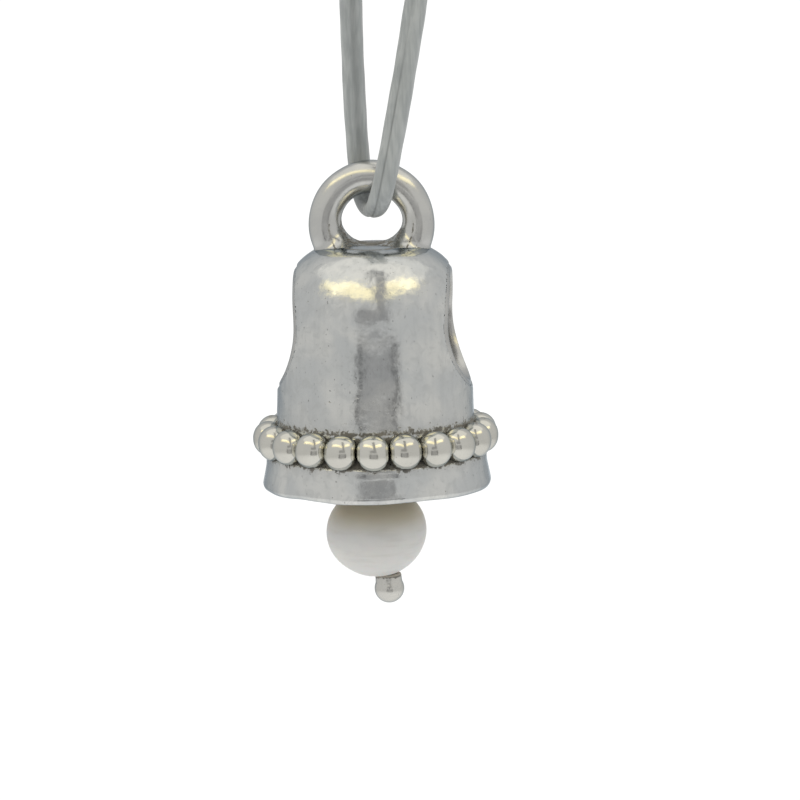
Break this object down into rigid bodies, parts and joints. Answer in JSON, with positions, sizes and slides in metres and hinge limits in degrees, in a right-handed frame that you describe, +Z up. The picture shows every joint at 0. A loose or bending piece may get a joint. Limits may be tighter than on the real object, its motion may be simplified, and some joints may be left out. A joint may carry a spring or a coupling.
{
  "type": "bell charm",
  "caption": "Small silver bell charm with a ring of balls round its skirt, a pearl clapper, a side-to-side bracelet hole and a bail on a cord loop.",
  "frame": {"origin": "inside of the cord loop's top, just under the knot, where a hook bears", "axes": "+Z up along the bell's axis, +X along the bracelet hole to the side seen from the front right, +Y away from the front"},
  "size_m": [0.0108, 0.0108, 0.0401],
  "materials": {
    "cast_silver": "satin",
    "sleeve_silver": "satin",
    "bead_silver": "polished",
    "wire_silver": "satin",
    "pearl": "satin",
    "cord": "matte"
  },
  "bodies": {
    "cord": {"hanging_cord": "cord", "cord_knot": "cord"},
    "bell": {"bell_shell": "cast_silver", "bracelet_sleeve": "sleeve_silver", "bail": "cast_silver", "clapper_staple": "wire_silver", "rim_bead_01": "bead_silver", "rim_bead_02": "bead_silver", "rim_bead_03": "bead_silver", "rim_bead_04": "bead_silver", "rim_bead_05": "bead_silver", "rim_bead_06": "bead_silver", "rim_bead_07": "bead_silver", "rim_bead_08": "bead_silver", "rim_bead_09": "bead_silver", "rim_bead_10": "bead_silver", "rim_bead_11": "bead_silver", "rim_bead_12": "bead_silver", "rim_bead_13": "bead_silver", "rim_bead_14": "bead_silver", "rim_bead_15": "bead_silver", "rim_bead_16": "bead_silver", "rim_bead_17": "bead_silver", "rim_bead_18": "bead_silver", "rim_bead_19": "bead_silver", "rim_bead_20": "bead_silver", "rim_bead_21": "bead_silver"},
    "link": {"jump_ring": "wire_silver"},
    "clapper": {"head_pin": "wire_silver"},
    "pearl": {"pearl": "pearl"}
  },
  "joints": [
    {"name": "bell_swing", "type": "hinge", "parent": "cord", "child": "bell", "pos_m": [0, 0, -0.0152], "axis": [1, 0, 0], "range_deg": [-35, 35]},
    {"name": "clapper_sway", "type": "hinge", "parent": "bell", "child": "link", "pos_m": [0, 0, -0.02631], "axis": [0, 1, 0], "range_deg": [-13, 18]},
    {"name": "clapper_swing", "type": "hinge", "parent": "link", "child": "clapper", "pos_m": [0.00008, 0, -0.02758], "axis": [0.9981, 0, 0.061], "range_deg": [-32, 32]},
    {"name": "pearl_spin", "type": "hinge", "parent": "clapper", "child": "pearl", "pos_m": [0.00029, 0, -0.03097], "axis": [-0.061, 0, 0.9981], "continuous": true}
  ]
}
